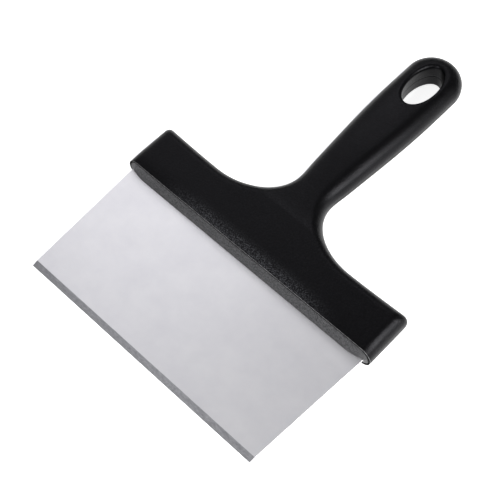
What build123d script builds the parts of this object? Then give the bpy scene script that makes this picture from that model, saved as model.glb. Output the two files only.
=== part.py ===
from build123d import *
import os

os.makedirs("parts", exist_ok=True)

# Bench scraper, all lengths in mm.
# +Y runs from the cutting edge to the end of the grip, +X across the blade, +Z up.
# The outlines are drawn from the line where the blade leaves the handle, on the middle plane.
exit_y = -48.9
mid_z = 9.3

# blade
cutting_edge_w = 152.4
exit_w = 161.6
blade_reach = 73.6
blade_t = 1.2
bevel_w = 3.4
edge_t = 0.35
blade_shoulder_y = 4.0
tang_start_y = 8.0
tang_depth = 22.0
tang_w = 154.0
tang_corner_r = 5.0
anchor_hole_r = 4.0
anchor_pitch = 28.0
anchor_y = 14.0
tongue_w = 13.0
tongue_end = 62.0
tongue_hole_y = 48.0
tongue_hole_r = 3.0

# head of the handle
head_half = 84.5
rim_y = 2.9
rim_half_t = 7.8
head_half_t = 8.5
head_back_y = 33.2
head_waist_y = 32.1
end_round_r = 6.9
crease_y = 35.0
back_corner_r = 3.0
nose_half = 70.0
nose_half_t = 0.95
lip = 0.4

# shoulder and grip
shoulder_x = 46.0
shoulder_y = 58.0
neck_half = 11.9
grip_half_t = 9.3
grip_end_half_t = 8.8
grip_half = 16.7
belly_y = 70.0
belly_l = 30.0
tip_y = 154.7
edge_round_r = 6.9

# hanging hole
hang_y = 145.6
hang_half_w = 8.1
hang_half_l = 15.4
hang_rim_r = 2.0

# the blade's slanted sides run on past the exit line, into the nose
shoulder_w = exit_w + (exit_w - cutting_edge_w) * blade_shoulder_y / blade_reach
corner_x = head_half - back_corner_r
corner_y = head_back_y - back_corner_r

seat = Plane(origin=(0, exit_y, mid_z), x_dir=(1, 0, 0), z_dir=(0, 0, 1))
side = Plane(origin=(0, exit_y, mid_z), x_dir=(0, 1, 0), z_dir=(1, 0, 0))
rim = Plane(origin=(0, exit_y + rim_y, mid_z), x_dir=(1, 0, 0), z_dir=(0, -1, 0))
exit_plane = Plane(origin=(0, exit_y, mid_z), x_dir=(1, 0, 0), z_dir=(0, -1, 0))


# ---- blade: one flat plate with a tang the handle is moulded around ----
def make_blade():
    with BuildPart() as plate:
        # the plate as it is stamped, from the cutting edge to the back of the tang
        with BuildSketch(seat):
            with BuildLine():
                Polyline(
                    (-cutting_edge_w / 2, -blade_reach),
                    (cutting_edge_w / 2, -blade_reach),
                    (shoulder_w / 2, blade_shoulder_y),
                    (tang_w / 2, tang_start_y),
                    (tang_w / 2, tang_depth),
                    (-tang_w / 2, tang_depth),
                    (-tang_w / 2, tang_start_y),
                    (-shoulder_w / 2, blade_shoulder_y),
                    close=True,
                )
            make_face()
            with Locations((0, (tang_depth + tongue_end) / 2 - 2)):
                Rectangle(tongue_w, tongue_end - tang_depth + 4)
        extrude(amount=blade_t / 2, both=True)
        fillet(
            plate.edges().filter_by(Axis.Z).group_by(Axis.Y)[-1]
            + plate.edges().filter_by(Axis.Z).filter_by_position(
                Axis.Y, exit_y + tang_depth - 0.1, exit_y + tang_depth + 0.1
            ),
            radius=tang_corner_r,
        )
        # holes the plastic flows through
        with BuildSketch(seat):
            with Locations((0, anchor_y)):
                with GridLocations(anchor_pitch, 1, 5, 1):
                    Circle(anchor_hole_r)
            with Locations((0, tongue_hole_y)):
                Circle(tongue_hole_r)
        extrude(amount=blade_t, both=True, mode=Mode.SUBTRACT)
        # bevel ground into the upper face along the cutting edge
        with BuildSketch(side):
            with BuildLine():
                Polyline(
                    (-blade_reach - 1, blade_t),
                    (-blade_reach - 1, edge_t - blade_t / 2 - (blade_t - edge_t) / bevel_w),
                    (-blade_reach + bevel_w, blade_t / 2),
                    (-blade_reach + bevel_w, blade_t),
                    close=True,
                )
            make_face()
        extrude(amount=cutting_edge_w, both=True, mode=Mode.SUBTRACT)
    return plate


blade = make_blade()
blade.part.label = "blade"
export_step(blade.part, "parts/blade.step")


def is_back_wall(face):
    upright = abs(face.normal_at().Z) < 0.01
    return upright and face.center().Y > exit_y + rim_y + 25


def is_hang_rim(edge):
    middle = edge.center()
    far = max(abs(edge.position_at(i / 8).Y - exit_y - hang_y) for i in range(9))
    return abs(middle.X) < hang_half_w and middle.Y > exit_y + hang_y - 20 and far < hang_half_l + 0.5


# ---- handle: head, neck and grip moulded in one piece around the tang ----
def make_handle():
    with BuildPart() as body:
        # outline seen from above; the head runs past its ends and is rounded off below
        with BuildSketch(seat):
            with BuildLine():
                front = Line((0, rim_y), (head_half + 20, rim_y))
                end = Line(front @ 1, (head_half + 20, head_back_y + 0.6))
                back = Spline(
                    end @ 1,
                    (head_half - 20, head_waist_y + 0.4),
                    (shoulder_x, head_waist_y),
                    tangents=((-1, -0.05), (-1, 0)),
                )
                shoulder = EllipticalCenterArc(
                    (shoulder_x, shoulder_y),
                    shoulder_x - neck_half,
                    shoulder_y - head_waist_y,
                    start_angle=180,
                    arc_size=90,
                )
                grip_side = Spline(
                    (neck_half, shoulder_y),
                    (neck_half + 2.4, 88),
                    (neck_half + 3.7, 106),
                    (neck_half + 4.6, 124),
                    (grip_half, tip_y - 10),
                    tangents=((0, 1), (0, 1)),
                )
                Line(grip_side @ 1, (grip_half, tip_y))
                CenterArc((0, tip_y), grip_half, 0, 90)
                mirror(about=Plane.YZ)
            make_face()
        extrude(amount=12, both=True)
        # thickness seen from the side, the same above and below the middle plane
        with BuildSketch(side):
            with BuildLine():
                Line((rim_y, 0), (rim_y, rim_half_t))
                Spline(
                    (rim_y, rim_half_t),
                    (12, head_half_t),
                    tangents=((1, 0.09), (1, 0)),
                )
                Line((12, head_half_t), (crease_y, head_half_t))
                Spline(
                    (crease_y, head_half_t),
                    (belly_y, grip_half_t),
                    tangents=((1, 0), (1, 0)),
                )
                Line((belly_y, grip_half_t), (belly_y + belly_l, grip_half_t))
                Spline(
                    (belly_y + belly_l, grip_half_t),
                    (tip_y + grip_half + 1, grip_end_half_t),
                    tangents=((1, 0), (1, -0.01)),
                )
                Line((tip_y + grip_half + 1, grip_end_half_t), (tip_y + grip_half + 1, 0))
                mirror(about=Plane.XZ)
            make_face()
        extrude(amount=head_half + 30, both=True, mode=Mode.INTERSECT)
        # round the shoulders and the grip, above and below
        walls = body.faces().filter_by(lambda f: is_back_wall(f))
        fillet(walls.edges().filter_by(lambda e: abs(e.center().Z - mid_z) > 7), radius=edge_round_r)
        # round off the ends of the head
        with BuildSketch(rim):
            Rectangle(2 * head_half + 50, 30)
            RectangleRounded(2 * head_half, 2 * head_half_t, end_round_r, mode=Mode.SUBTRACT)
            Rectangle(2 * (head_half - end_round_r), 30, mode=Mode.SUBTRACT)
        extrude(amount=-40, mode=Mode.SUBTRACT)
        # take the sharp mitre off the two back corners
        with BuildSketch(seat):
            with BuildLine():
                bend = CenterArc((corner_x, corner_y), back_corner_r, 0, 90)
                Polyline(
                    bend @ 1,
                    (corner_x, corner_y + 9),
                    (corner_x + 9, corner_y + 9),
                    (corner_x + 9, corner_y),
                    bend @ 0,
                )
            make_face()
            mirror(about=Plane.YZ)
        extrude(amount=12, both=True, mode=Mode.SUBTRACT)
        # nose: a blunt wedge from just inside the rim down to the blade, hipped at its ends
        with BuildSketch(rim):
            RectangleRounded(2 * (head_half - lip), 2 * (rim_half_t - lip), end_round_r - lip)
        with BuildSketch(exit_plane):
            RectangleRounded(2 * nose_half, 2 * nose_half_t, nose_half_t - 0.05)
        loft(ruled=True)
        # hanging hole with its rolled rims
        with BuildSketch(seat):
            with Locations((0, hang_y)):
                Ellipse(hang_half_w, hang_half_l)
        extrude(amount=12, both=True, mode=Mode.SUBTRACT)
        rims = body.edges().filter_by(lambda e: is_hang_rim(e))
        fillet(rims, radius=hang_rim_r)
        # room for the tang; the plastic also fills the holes through it
        add(blade.part, mode=Mode.SUBTRACT)
    return body


handle = make_handle()
handle.part.label = "handle"
export_step(handle.part, "parts/handle.step")
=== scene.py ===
import math

import bmesh
import bpy
import numpy as np
from mathutils import Matrix, Vector


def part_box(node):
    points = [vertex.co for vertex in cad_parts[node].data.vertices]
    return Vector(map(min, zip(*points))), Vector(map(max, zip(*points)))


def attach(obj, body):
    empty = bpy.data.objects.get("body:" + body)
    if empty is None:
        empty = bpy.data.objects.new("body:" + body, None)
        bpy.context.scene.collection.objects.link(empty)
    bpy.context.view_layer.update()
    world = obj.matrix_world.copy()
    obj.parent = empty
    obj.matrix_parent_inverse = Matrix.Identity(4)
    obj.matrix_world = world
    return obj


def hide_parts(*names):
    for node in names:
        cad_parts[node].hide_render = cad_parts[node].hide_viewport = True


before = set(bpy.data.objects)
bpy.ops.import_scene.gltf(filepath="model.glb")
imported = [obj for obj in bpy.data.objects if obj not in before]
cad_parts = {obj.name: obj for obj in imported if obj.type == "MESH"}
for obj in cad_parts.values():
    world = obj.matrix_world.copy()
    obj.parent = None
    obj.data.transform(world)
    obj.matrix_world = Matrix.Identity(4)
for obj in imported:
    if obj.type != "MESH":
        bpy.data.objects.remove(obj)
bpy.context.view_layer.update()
handle_lo, handle_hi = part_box("handle")

# The shapes below are worked out in millimetres from the middle of the line where the blade
# leaves the handle; these two numbers carry them into the frame.
MM = 0.001
EXIT_Y = handle_lo.y / MM
MID_Z = 0.5 * (handle_lo.z + handle_hi.z) / MM

# head: half width and thickness, the rolled front edge, and the corner where back meets end
HEAD_HALF = handle_hi.x / MM
HEAD_T = 8.5
RIM_Y = 2.9
WAIST_Y = 32.1
ROLL_END_Y = 13
ROLL_LENGTH = 10.1
HEAD_DROP = 1.1
CORNER_BLEND = 3.6
EDGE_ROUND = 6.9
EDGE_POWER = 2.05

# shoulder, neck and grip
SHOULDER = (46.0, 58.0)
NECK_HALF = 11.9
GRIP_HALF = 16.7
TIP_Y = handle_hi.y / MM - EXIT_Y - GRIP_HALF
GRIP_T = 0.5 * (handle_hi.z - handle_lo.z) / MM
CREASE_Y = 35.0
NECK_Y = 49.0
NECK_T = 8.05
BELLY_Y = 98.0
GRIP_CROWN = 0.6
GRIP_EXTRA_ROUND = 1.9
GRIP_EXTRA_POWER = 0.23

# nose: its half width, the ledge around it, and how far its root goes into the head
NOSE_HALF = 70.0
NOSE_BLUNT = 0.95
NOSE_ROUND = 6.5
LEDGE = 1.1
LEDGE_STEP_W = 0.05
LEDGE_DEPTH = 0.06
ROOT_DEPTH = 0.4
RIM_ROUND = 0.22
# how far back from the rim the painted glint specks reach
RIM_GLINT_REACH = 11.0

# the groove that the mould's parting line leaves
PARTING_W = 0.22
PARTING_DEPTH = 0.18

# hanging hole: centre, half width and length, and the rolled rims
HANG_Y = 145.6
HANG_R = (8.1, 15.4)
HANG_RIM = 2.0

NET_CELL = 0.7
BLADE_EDGE_BREAK = 0.07


# ---------- the handle's form, as a field that is negative inside ----------


def hermite(t, knots):
    """A smooth curve through (t, value, slope) knots."""
    t = np.asarray(t, float)
    out = np.full(t.shape, float(knots[0][1]))
    for (t0, v0, s0), (t1, v1, s1) in zip(knots[:-1], knots[1:]):
        u = np.clip((t - t0) / (t1 - t0), 0, 1)
        w = t1 - t0
        piece = (
            v0 * (1 + 2 * u) * (1 - u) ** 2
            + s0 * w * u * (1 - u) ** 2
            + v1 * u * u * (3 - 2 * u)
            + s1 * w * u * u * (u - 1)
        )
        out = np.where(t >= t0, piece, out)
    return out


def smooth(t, a, b):
    u = np.clip((t - a) / (b - a), 0, 1)
    return u * u * (3 - 2 * u)


def half_outline():
    """The back of the head, the shoulder, the grip's side and the tip, for x above 0."""
    xs = np.arange(104.0, SHOULDER[0], -0.5)
    back = np.stack([xs, WAIST_Y + 1.1 * ((xs - SHOULDER[0]) / 36) ** 1.6], 1)
    a = np.linspace(0, math.pi / 2, 160)
    curve = np.stack(
        [
            SHOULDER[0] - (SHOULDER[0] - NECK_HALF) * np.sin(a),
            SHOULDER[1] - (SHOULDER[1] - WAIST_Y) * np.cos(a),
        ],
        1,
    )
    ys = np.arange(SHOULDER[1] + 0.25, TIP_Y, 0.3)
    knots = [
        (58, NECK_HALF, 0.0),
        (70, NECK_HALF + 1.05, 0.078),
        (88, NECK_HALF + 2.4, 0.076),
        (106, NECK_HALF + 3.7, 0.062),
        (124, NECK_HALF + 4.55, 0.033),
        (145, GRIP_HALF, 0.0),
    ]
    side = np.stack([hermite(ys, knots), ys], 1)
    a = np.linspace(0, math.pi / 2, 110)
    tip = np.stack([GRIP_HALF * np.cos(a), TIP_Y + GRIP_HALF * np.sin(a)], 1)
    return np.concatenate([back, curve, side, tip])


def ellipse_outline():
    a = np.linspace(0, 2 * math.pi, 241)
    return np.stack([-HANG_R[0] * np.sin(a), HANG_Y + HANG_R[1] * np.cos(a)], 1)


def inside_distance(x, y, line):
    """Distance to a polyline, above 0 on the left of its direction of travel."""
    out = np.empty(len(x))
    seg = np.diff(line, axis=0)
    n = len(seg)
    for s in range(0, len(x), 8192):
        px, py = x[s : s + 8192], y[s : s + 8192]
        gaps = (px[:, None] - line[None, :, 0]) ** 2 + (py[:, None] - line[None, :, 1]) ** 2
        k = np.argmin(gaps, 1)
        best = np.full(len(px), 1e9)
        signed = np.zeros(len(px))
        for j in (np.clip(k - 1, 0, n - 1), np.clip(k, 0, n - 1)):
            ex, ey = seg[j, 0], seg[j, 1]
            qx, qy = px - line[j, 0], py - line[j, 1]
            u = np.clip((qx * ex + qy * ey) / (ex * ex + ey * ey), 0, 1)
            rx, ry = qx - u * ex, qy - u * ey
            dist = np.hypot(rx, ry)
            side = np.sign(-rx * ey + ry * ex)
            near = dist < best
            best = np.where(near, dist, best)
            signed = np.where(near, dist * np.where(side == 0, 1, side), signed)
        out[s : s + 8192] = signed
    return out


OUTLINE = half_outline()
HANG_LINE = ellipse_outline()


def half_thickness(x, y):
    """Half the thickness over a point of the plan, before the edges are rounded."""
    t = HEAD_T - HEAD_DROP * np.clip((ROLL_END_Y - y) / ROLL_LENGTH, 0, 1) ** 2.2
    knots = [
        (CREASE_Y, 0.0, -0.13),
        (NECK_Y, NECK_T - HEAD_T, 0.0),
        (BELLY_Y, GRIP_T - HEAD_T, 0.0),
        (TIP_Y, GRIP_T - 0.35 - HEAD_T, -0.015),
        (TIP_Y + GRIP_HALF, GRIP_T - 1.2 - HEAD_T, -0.06),
    ]
    t = t + np.where(y > CREASE_Y, hermite(y, knots), 0)
    return t - GRIP_CROWN * smooth(y, CREASE_Y, 62) * (x / 13) ** 2


def edge_distance(x, y):
    """Distance inwards from the outline, with the head's back corners blended."""
    ax = np.abs(x)
    d_back = inside_distance(ax, y, OUTLINE)
    d_end = HEAD_HALF - ax
    gap = np.clip(CORNER_BLEND - np.abs(d_back - d_end), 0, None)
    return np.minimum(d_back, d_end) - gap * gap / (4 * CORNER_BLEND)


def handle_field(x, y, z):
    """Below 0 inside the handle; the edges follow a superellipse, and the hole is cut out."""
    d = edge_distance(x, y)
    t = half_thickness(x, y)
    reach = EDGE_ROUND + GRIP_EXTRA_ROUND * smooth(y, 40, 80)
    p = EDGE_POWER + GRIP_EXTRA_POWER * smooth(y, 40, 60)
    a = np.clip(1 - d / reach, 0, None)
    b = np.abs(z) / t
    f = ((a**p + b**p) ** (1 / p) - 1) * reach
    near = (y > HANG_Y - HANG_R[1] - 6) & (np.abs(x) < HANG_R[0] + 6)
    if near.any():
        dh = -inside_distance(x[near], y[near], HANG_LINE)
        q = HANG_RIM - dh
        w = np.abs(z[near]) - (t[near] - HANG_RIM)
        rolled = np.hypot(np.clip(q, 0, None), np.clip(w, 0, None))
        hole = rolled + np.minimum(np.maximum(q, w), 0) - HANG_RIM
        f[near] = np.maximum(f[near], hole)
    return f


def surface_net(cell):
    """A quad mesh on the field's zero level, its points moved exactly onto it."""
    xs = np.arange(-HEAD_HALF - 1.37 * cell, HEAD_HALF + 1.4 * cell, cell)
    ys = np.arange(-4.0, TIP_Y + GRIP_HALF + 1.6 * cell, cell)
    layers = math.ceil(GRIP_T / cell) + 1
    zs = (np.arange(-layers, layers) + 0.5) * cell
    gx, gy = np.meshgrid(xs, ys, indexing="ij")
    cx, cy = gx.ravel(), gy.ravel()
    grid = np.full((len(cx), len(zs)), 5.0)
    band = edge_distance(cx, cy) > -2 * cell
    bx, by = cx[band], cy[band]
    for k, z in enumerate(zs):
        grid[band, k] = handle_field(bx, by, np.full(len(bx), z))
    grid = grid.reshape(len(xs), len(ys), len(zs))
    inside = grid < 0
    corners = [(i, j, k) for i in (0, 1) for j in (0, 1) for k in (0, 1)]
    nx, ny, nz = grid.shape

    def part(a, c):
        return a[c[0] : nx - 1 + c[0], c[1] : ny - 1 + c[1], c[2] : nz - 1 + c[2]]

    count = sum(part(inside, c).astype(int) for c in corners)
    live = (count > 0) & (count < 8)
    index = np.full(live.shape, -1)
    index[live] = np.arange(live.sum())
    where = np.argwhere(live)
    total = np.zeros((len(where), 3))
    hits = np.zeros(len(where))
    for a in corners:
        for axis in range(3):
            if a[axis]:
                continue
            b = list(a)
            b[axis] = 1
            fa = part(grid, a)[live]
            fb = part(grid, b)[live]
            cut = (fa < 0) != (fb < 0)
            u = np.where(cut, fa / np.where(cut, fa - fb, 1), 0)
            p = np.array(a, float)[None] + u[:, None] * (np.array(b) - np.array(a))[None]
            total += np.where(cut[:, None], p, 0)
            hits += cut
    pts = (where + total / hits[:, None]) * cell + np.array([xs[0], ys[0], zs[0]])
    for _ in range(3):
        f = handle_field(*pts.T)
        g = np.empty_like(pts)
        for axis in range(3):
            moved = pts.copy()
            moved[:, axis] += 0.02
            g[:, axis] = (handle_field(*moved.T) - f) / 0.02
        step = f[:, None] * g / np.clip((g * g).sum(1), 0.05, None)[:, None]
        pts -= np.clip(step, -0.6 * cell, 0.6 * cell)
    faces = []
    for axis in range(3):
        o1, o2 = [k for k in range(3) if k != axis]
        lo = [slice(1, n - 1) for n in grid.shape]
        hi = [slice(1, n - 1) for n in grid.shape]
        lo[axis] = slice(0, grid.shape[axis] - 1)
        hi[axis] = slice(1, grid.shape[axis])
        a, b = inside[tuple(lo)], inside[tuple(hi)]
        for sign in (True, False):
            spots = np.argwhere((a != b) & (a == sign)) + np.array([s.start for s in lo])
            ring = []
            for d1, d2 in ((0, 0), (-1, 0), (-1, -1), (0, -1)):
                at = spots.copy()
                at[:, o1] += d1
                at[:, o2] += d2
                ring.append(index[at[:, 0], at[:, 1], at[:, 2]])
            quad = np.stack(ring, 1)
            if (axis == 1) == sign:
                quad = quad[:, ::-1]
            faces.append(quad)
    return pts, np.concatenate(faces)


def to_frame(pts):
    out = np.array(pts, float)
    out[:, 1] += EXIT_Y
    out[:, 2] += MID_Z
    return out * MM


def nose_mesh():
    """The blunt wedge between the rim and the blade, hipped at both ends."""
    half, top = HEAD_HALF - LEDGE, HEAD_T - HEAD_DROP - LEDGE
    r = NOSE_ROUND
    a = np.linspace(0, math.pi / 2, 26)[1:]
    end = half - r + r * np.sin(a)
    xs = np.concatenate([-end[::-1], np.linspace(-(half - r), half - r, 241), end])
    over = np.clip((np.abs(xs) - (half - r)) / r, 0, 1)
    tall = (top - r) + r * np.sqrt(np.clip(1 - over**2, 0, 1))
    tall = np.where(over >= 1, 0.12, np.where(over > 0, tall * np.sqrt(1 - over**4), tall))
    back = RIM_Y + LEDGE_DEPTH
    front = back * np.clip((np.abs(xs) - NOSE_HALF) / (half - NOSE_HALF), 0, 1) ** 2
    blunt = np.minimum(NOSE_BLUNT, 0.6 * tall)
    verts = []
    for x, h, y0, bl in zip(xs, tall, front, blunt):
        slope = np.linspace(bl, h, 16)
        levels = np.concatenate([-slope[::-1], [-0.5 * bl, 0.5 * bl], slope])
        rise = np.clip((np.abs(levels) - bl) / max(h - bl, 1e-6), 0, 1)
        y = y0 + (back - y0) * rise
        y = np.concatenate([[back + ROOT_DEPTH], y, [back + ROOT_DEPTH]])
        levels = np.concatenate([[-h], levels, [h]])
        verts += [(x, yy, zz) for yy, zz in zip(y, levels)]
    n = 36
    faces = []
    for i in range(len(xs) - 1):
        for j in range(n - 1):
            p = i * n + j
            faces.append((p, p + n, p + n + 1, p + 1))
    last = (len(xs) - 1) * n
    faces += [tuple(range(n)), tuple(range(last, last + n))]
    return np.array(verts), faces


def build_handle():
    """The field's mesh, cut flat at the rim, grooved at the parting line and given its nose."""
    pts, quads = surface_net(NET_CELL)
    mesh = bpy.data.meshes.new("grip_and_head")
    corners = [tuple(p) for p in to_frame(pts)]
    mesh.from_pydata(corners, [], [tuple(int(i) for i in q) for q in quads])
    bm = bmesh.new()
    bm.from_mesh(mesh)
    rim_plane = (EXIT_Y + RIM_Y) * MM
    bmesh.ops.bisect_plane(
        bm,
        geom=bm.verts[:] + bm.edges[:] + bm.faces[:],
        plane_co=(0, rim_plane, 0),
        plane_no=(0, 1, 0),
        clear_inner=True,
    )
    for level in (-PARTING_W, PARTING_W):
        bmesh.ops.bisect_plane(
            bm,
            geom=bm.verts[:] + bm.edges[:] + bm.faces[:],
            plane_co=(0, 0, (MID_Z + level) * MM),
            plane_no=(0, 0, 1),
        )
    border = [e for e in bm.edges if e.is_boundary]
    cap = bmesh.ops.contextual_create(bm, geom=border)["faces"]
    bmesh.ops.recalc_face_normals(bm, faces=bm.faces[:])
    for f in bm.faces:
        f.smooth = True
    bm.normal_update()
    for v in bm.verts:
        if abs(v.co.z - MID_Z * MM) < 0.02 * MM and v.co.y > rim_plane + 0.5 * MM:
            v.co -= v.normal * PARTING_DEPTH * MM
    ring_w = (LEDGE - LEDGE_STEP_W) * MM
    ring = bmesh.ops.inset_region(bm, faces=cap, thickness=ring_w, depth=0)["faces"]
    # the ring below the rim takes material 3, which has no reflection: painted shade for the dark
    # shadow line between the rim edge and the nose
    for f in ring:
        f.material_index = 3
    bmesh.ops.inset_region(bm, faces=cap, thickness=LEDGE_STEP_W * MM, depth=-LEDGE_DEPTH * MM)
    rim_edges = [
        e
        for e in bm.edges
        if abs(e.verts[0].co.y - rim_plane) < 1e-7
        and abs(e.verts[1].co.y - rim_plane) < 1e-7
        and any(f.calc_center_median().y > rim_plane + 0.05 * MM for f in e.link_faces)
        and any(f.normal.y < -0.99 for f in e.link_faces)
    ]
    # the rounded rim edge takes material 2, a pale grey plastic: a painted highlight for the
    # bright line of light along the edge
    painted_rim_highlight = bmesh.ops.bevel(
        bm,
        geom=rim_edges,
        offset=RIM_ROUND * MM,
        offset_type="OFFSET",
        segments=2,
        profile=0.6,
        affect="EDGES",
        clamp_overlap=True,
    )["faces"]
    for f in painted_rim_highlight:
        f.material_index = 2
        f.smooth = True
    # the nose and its root take material 1, the grey copy of the plastic that paints in reflected
    # light
    nose_pts, nose_faces = nose_mesh()
    made = [bm.verts.new(p) for p in to_frame(nose_pts)]
    for f in nose_faces:
        face = bm.faces.new([made[i] for i in f])
        face.smooth = True
        face.material_index = 1
    border = [e for e in bm.edges if e.is_boundary]
    root = bmesh.ops.holes_fill(bm, edges=border, sides=0)["faces"]
    for f in root:
        f.material_index = 1
        f.smooth = False
    bmesh.ops.recalc_face_normals(bm, faces=bm.faces[:])
    bm.normal_update()
    bm.to_mesh(mesh)
    bm.free()
    obj = bpy.data.objects.new("grip_and_head", mesh)
    bpy.context.scene.collection.objects.link(obj)
    return obj


def build_blade():
    """The CAD blade with its sharp edges broken, and the ground bevel as its own surface."""
    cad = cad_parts["blade"]
    bm = bmesh.new()
    bm.from_mesh(cad.data)
    bmesh.ops.remove_doubles(bm, verts=bm.verts[:], dist=0.00001)
    bmesh.ops.dissolve_limit(bm, angle_limit=0.01, verts=bm.verts[:], edges=bm.edges[:])
    sharp = [e for e in bm.edges if len(e.link_faces) == 2 and e.calc_face_angle(0) > 0.6]
    bmesh.ops.bevel(
        bm,
        geom=sharp,
        offset=BLADE_EDGE_BREAK * MM,
        segments=2,
        profile=0.5,
        affect="EDGES",
        clamp_overlap=True,
    )
    bm.normal_update()
    for f in bm.faces:
        f.smooth = False
        ground = f.normal.y < -0.15 and f.normal.z > 0.8 and f.calc_area() > 1e-5
        f.material_index = 1 if ground else 0
    mesh = bpy.data.meshes.new("blade_plate")
    bm.to_mesh(mesh)
    bm.free()
    obj = bpy.data.objects.new("blade_plate", mesh)
    bpy.context.scene.collection.objects.link(obj)
    return obj


# ---------- materials ----------


def new_material(name):
    mat = bpy.data.materials.new(name)
    mat.use_nodes = True
    nodes = mat.node_tree.nodes
    return mat, nodes, mat.node_tree.links, nodes["Principled BSDF"]


def add(nodes, kind, **values):
    node = nodes.new(kind)
    for key, value in values.items():
        setattr(node, key, value)
    return node


def texture_at(nodes, links, scale, stretch=(1, 1, 1), detail=3, roughness=0.55):
    """Noise fixed to the object, with features about 1 / scale metres long."""
    place = add(nodes, "ShaderNodeNewGeometry")
    mapping = add(nodes, "ShaderNodeMapping")
    mapping.inputs["Scale"].default_value = stretch
    noise = add(nodes, "ShaderNodeTexNoise")
    noise.inputs["Scale"].default_value = scale
    noise.inputs["Detail"].default_value = detail
    noise.inputs["Roughness"].default_value = roughness
    links.new(place.outputs["Position"], mapping.inputs["Vector"])
    links.new(mapping.outputs["Vector"], noise.inputs["Vector"])
    return noise.outputs["Fac"]


def spread(nodes, links, value, low, high, span=(0.3, 0.7)):
    node = add(nodes, "ShaderNodeMapRange")
    node.inputs["From Min"].default_value = span[0]
    node.inputs["From Max"].default_value = span[1]
    node.inputs["To Min"].default_value = low
    node.inputs["To Max"].default_value = high
    links.new(value, node.inputs["Value"])
    return node.outputs["Result"]


def tone(nodes, links, value, dark, light, span=(0.3, 0.7)):
    ramp = add(nodes, "ShaderNodeValToRGB")
    ramp.color_ramp.elements[0].position = span[0]
    ramp.color_ramp.elements[0].color = (*dark, 1)
    ramp.color_ramp.elements[1].position = span[1]
    ramp.color_ramp.elements[1].color = (*light, 1)
    links.new(value, ramp.inputs["Fac"])
    return ramp.outputs["Color"]


def relief(nodes, links, value, distance, strength=1.0):
    bump = add(nodes, "ShaderNodeBump")
    bump.inputs["Strength"].default_value = strength
    bump.inputs["Distance"].default_value = distance
    links.new(value, bump.inputs["Height"])
    return bump.outputs["Normal"]


def moulded_plastic(
    name, dark, light, grain_height, rough, grain_size=0.0009, stretch=(1, 1, 1)
):
    """Black plastic with the grain of a spark-eroded mould."""
    mat, nodes, links, bsdf = new_material(name)
    bsdf.inputs["Specular IOR Level"].default_value = 0.128
    bsdf.inputs["Specular Tint"].default_value = (0.93, 0.92, 1.0, 1)
    grain = texture_at(nodes, links, 1 / grain_size, stretch, detail=2, roughness=0.6)
    cloud = texture_at(nodes, links, 60, detail=4)
    links.new(tone(nodes, links, grain, dark, light, (0.35, 0.65)), bsdf.inputs["Base Color"])
    links.new(relief(nodes, links, grain, grain_height), bsdf.inputs["Normal"])
    links.new(spread(nodes, links, cloud, *rough), bsdf.inputs["Roughness"])
    return mat


def paint_rim_glints(mat):
    """Painted highlight: pale specks painted into the base colour along the front of the head,
    standing for glints of light on the tops of the grain; they fade back from the rim and towards
    the ends of the head.
    """
    nodes, links = mat.node_tree.nodes, mat.node_tree.links
    bsdf = nodes["Principled BSDF"]
    base = bsdf.inputs["Base Color"].links[0].from_socket
    place = add(nodes, "ShaderNodeNewGeometry")
    parts = add(nodes, "ShaderNodeSeparateXYZ")
    links.new(place.outputs["Position"], parts.inputs["Vector"])
    reach = add(nodes, "ShaderNodeMapRange", interpolation_type="SMOOTHSTEP")
    reach.inputs["From Min"].default_value = (EXIT_Y + RIM_Y + RIM_GLINT_REACH) * MM
    reach.inputs["From Max"].default_value = (EXIT_Y + RIM_Y) * MM
    links.new(parts.outputs["Y"], reach.inputs["Value"])
    steep = add(nodes, "ShaderNodeMath", operation="POWER")
    steep.inputs[1].default_value = 1.6
    links.new(reach.outputs["Result"], steep.inputs[0])
    out = add(nodes, "ShaderNodeMath", operation="ABSOLUTE")
    links.new(parts.outputs["X"], out.inputs[0])
    side = add(nodes, "ShaderNodeMapRange", interpolation_type="SMOOTHSTEP")
    side.inputs["From Min"].default_value = 0.75 * HEAD_HALF * MM
    side.inputs["From Max"].default_value = 0.3 * HEAD_HALF * MM
    links.new(out.outputs["Value"], side.inputs["Value"])
    specks = spread(nodes, links, texture_at(nodes, links, 1700, detail=2), 0.0, 1.0, (0.46, 0.64))
    amount = add(nodes, "ShaderNodeMath", operation="MULTIPLY")
    links.new(steep.outputs["Value"], amount.inputs[0])
    links.new(side.outputs["Result"], amount.inputs[1])
    seen = add(nodes, "ShaderNodeMath", operation="MULTIPLY")
    links.new(amount.outputs["Value"], seen.inputs[0])
    links.new(specks, seen.inputs[1])
    blend = add(nodes, "ShaderNodeMix", data_type="RGBA")
    links.new(seen.outputs["Value"], blend.inputs["Factor"])
    links.new(base, blend.inputs["A"])
    # the pale colour of the painted glint specks
    blend.inputs["B"].default_value = (0.07, 0.071, 0.077, 1)
    links.new(blend.outputs["Result"], bsdf.inputs["Base Color"])


def satin_steel():
    """The blade's faces, with fine lines along the cutting edge."""
    mat, nodes, links, bsdf = new_material("satin_steel")
    bsdf.inputs["Metallic"].default_value = 1.0
    lines = texture_at(nodes, links, 1.0, (60, 2600, 60), detail=4)
    cloud = texture_at(nodes, links, 55, detail=6, roughness=0.65)
    colour = tone(nodes, links, cloud, (0.88, 0.875, 0.9), (0.945, 0.94, 0.955))
    links.new(colour, bsdf.inputs["Base Color"])
    links.new(spread(nodes, links, lines, 0.33, 0.42), bsdf.inputs["Roughness"])
    links.new(relief(nodes, links, lines, 0.00003, 0.2), bsdf.inputs["Normal"])
    return mat


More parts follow.
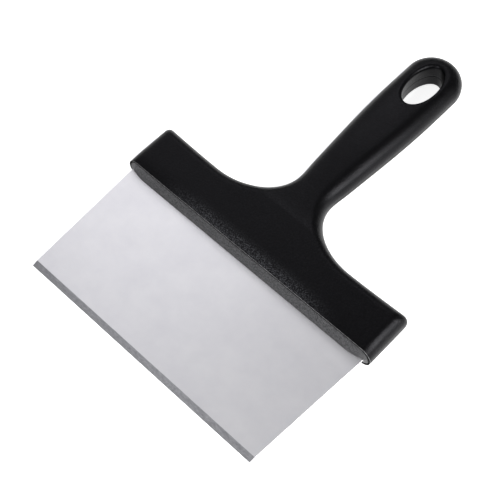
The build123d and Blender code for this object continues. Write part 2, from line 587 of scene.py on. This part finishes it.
def ground_steel():
    """The bevel, with the streaks that the grinding wheel leaves."""
    mat, nodes, links, bsdf = new_material("ground_steel")
    bsdf.inputs["Metallic"].default_value = 1.0
    streaks = texture_at(nodes, links, 1.0, (700, 1600, 1600), detail=4, roughness=0.65)
    colour = tone(nodes, links, streaks, (0.42, 0.42, 0.44), (0.72, 0.72, 0.74))
    links.new(colour, bsdf.inputs["Base Color"])
    links.new(spread(nodes, links, streaks, 0.32, 0.45), bsdf.inputs["Roughness"])
    links.new(relief(nodes, links, streaks, 0.00004, 0.3), bsdf.inputs["Normal"])
    return mat


# ---------- pieces ----------

plastic = moulded_plastic(
    "black_plastic", (0.0006, 0.0006, 0.0007), (0.0024, 0.0024, 0.0027), 0.00014, (0.3, 0.36)
)
# painted highlight: pale glint specks in the plastic's colour along the front of the head
paint_rim_glints(plastic)
# painted light: the nose is the same black plastic, given a grey colour that stands for the blade
# and the front lamp reflected in its face
nose = moulded_plastic(
    "black_plastic_nose_painted_light",
    (0.04, 0.04, 0.042),
    (0.125, 0.125, 0.127),
    0.0001,
    (0.45, 0.55),
    0.0004,
    (0.5, 1, 1),
)
# painted highlight: pale grey plastic for the rim's rounded edge, standing for the line of light
# it catches
painted_rim_highlight = moulded_plastic(
    "black_plastic_painted_rim_highlight", (0.12, 0.12, 0.122), (0.3, 0.3, 0.303), 0.0001, (0.35, 0.45), 0.0006
)
# painted shade: plastic with no reflection at all, so the ring below the rim renders as a dark
# shadow line
painted_ledge_shadow = moulded_plastic(
    "black_plastic_painted_ledge_shadow", (0.002, 0.002, 0.002), (0.006, 0.006, 0.006), 0.0001, (0.8, 0.9)
)
painted_ledge_shadow.node_tree.nodes["Principled BSDF"].inputs["Specular IOR Level"].default_value = 0.0
steel = satin_steel()

handle = build_handle()
for material in (plastic, nose, painted_rim_highlight, painted_ledge_shadow):
    handle.data.materials.append(material)
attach(handle, "root")
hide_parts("handle")

blade = build_blade()
blade.data.materials.append(steel)
blade.data.materials.append(ground_steel())
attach(blade, "root")
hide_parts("blade")
cad_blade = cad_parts["blade"]
cad_blade.data.materials.clear()
cad_blade.data.materials.append(steel)
cad_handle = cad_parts["handle"]
cad_handle.data.materials.clear()
cad_handle.data.materials.append(plastic)


# ---------- floor, light and camera ----------


def make_floor():
    mesh = bpy.data.meshes.new("floor")
    s = 4.0
    mesh.from_pydata([(-s, -s, 0), (s, -s, 0), (s, s, 0), (-s, s, 0)], [], [(0, 1, 2, 3)])
    obj = bpy.data.objects.new("floor", mesh)
    obj.location.z = handle_lo.z - 0.0002
    bpy.context.scene.collection.objects.link(obj)
    mat, nodes, links, bsdf = new_material("pale_floor")
    bsdf.inputs["Base Color"].default_value = (0.9, 0.9, 0.9, 1)
    bsdf.inputs["Roughness"].default_value = 0.9
    bsdf.inputs["Specular IOR Level"].default_value = 0.0
    bsdf.inputs["Emission Color"].default_value = (1, 1, 1, 1)
    bsdf.inputs["Emission Strength"].default_value = 0.85
    mesh.materials.append(mat)


def area_light(name, place, aim, size, power, tint=(1, 1, 1)):
    data = bpy.data.lights.new(name, "AREA")
    data.shape = "RECTANGLE"
    data.size, data.size_y = size
    data.energy = power
    data.color = tint
    obj = bpy.data.objects.new(name, data)
    obj.location = place
    obj.rotation_euler = (Vector(aim) - Vector(place)).to_track_quat("-Z", "Y").to_euler()
    bpy.context.scene.collection.objects.link(obj)


def make_camera():
    """Stands 0.59 m from the tool, 61 degrees above the bench, right of the blade's middle."""
    exit_mid = Vector((0, EXIT_Y * MM, MID_Z * MM))
    place = exit_mid + Vector((0.19735, -0.197, 0.51638))
    aim = exit_mid + Vector((-0.00142, 0.00881, 0))
    data = bpy.data.cameras.new("camera")
    data.sensor_width = 36
    data.lens = 82.82
    data.clip_start = 0.01
    obj = bpy.data.objects.new("camera", data)
    turn = (aim - place).to_track_quat("-Z", "Y").to_matrix().to_4x4()
    roll = math.radians(-0.707)
    obj.matrix_world = turn @ Matrix.Rotation(roll, 4, "Z")
    obj.location = place
    bpy.context.scene.collection.objects.link(obj)
    bpy.context.scene.camera = obj


make_floor()
COOL = (0.97, 0.965, 1.0)
area_light("back_left", (-0.645, 0.52, 0.72), (-0.645, 0.52, 0), (0.83, 1.04), 2.2, COOL)
area_light("left_side", (-1.1, 0.4, 0.42), (0, 0.03, 0), (0.5, 0.5), 0.8, COOL)
area_light("back", (-0.28, 0.6, 0.73), (0, 0, 0), (0.16, 0.16), 0.36, COOL)
area_light("front", (0.36, -0.7, 0.4), (0, 0, 0), (0.2, 0.2), 4.2)
area_light("fill", (-0.05, 0.05, 0.8), (0.03, -0.09, 0), (0.2, 0.2), 0.09)
area_light("overhead", (-0.27, -0.2, 0.8), (0, -0.05, 0), (0.14, 0.14), 0.14, (0.95, 0.97, 1.0))
area_light("right_side", (0.74, 0.22, 0.48), (0, 0.03, 0), (0.26, 0.6), 7.6, (1.0, 1.0, 0.98))
world = bpy.data.worlds.new("studio")
bpy.context.scene.world = world
world.use_nodes = True
world.node_tree.nodes["Background"].inputs["Color"].default_value = (0.97, 0.965, 1.0, 1)
world.node_tree.nodes["Background"].inputs["Strength"].default_value = 0.22
bpy.context.scene.view_settings.view_transform = "Standard"
make_camera()
